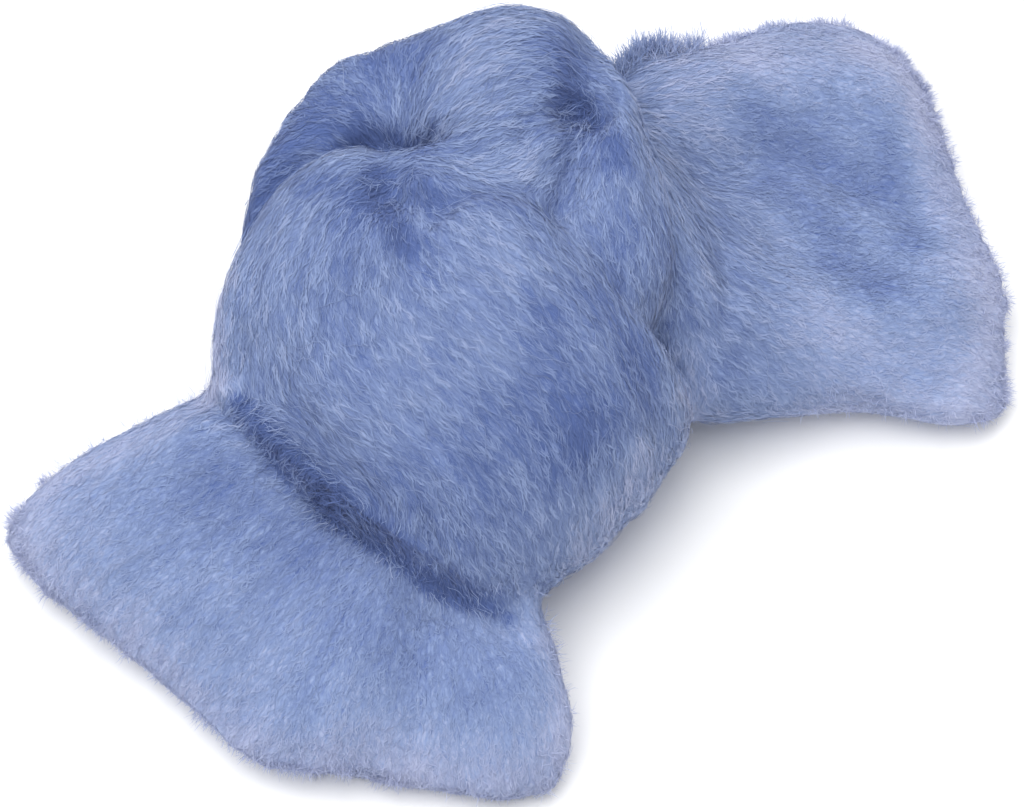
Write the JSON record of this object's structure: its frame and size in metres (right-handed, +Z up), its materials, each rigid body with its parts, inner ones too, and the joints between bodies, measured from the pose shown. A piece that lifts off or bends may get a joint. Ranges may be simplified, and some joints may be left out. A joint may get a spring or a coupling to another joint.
{
  "type": "wool roving",
  "caption": "Length of soft combed wool roving tied in a loose overhand knot, both torn ends fanned out flat.",
  "frame": {"origin": "on the table, below the middle of the piece's outline", "axes": "+Z up; +X from the knot towards the rim of the first fanned end; -Y towards the rim of the second fanned end"},
  "size_m": [0.1162, 0.1032, 0.0353],
  "materials": {
    "wool": "matt, soft, combed wool fibres, dyed periwinkle blue"
  },
  "bodies": {
    "root": {"roving": "wool"}
  },
  "joints": []
}
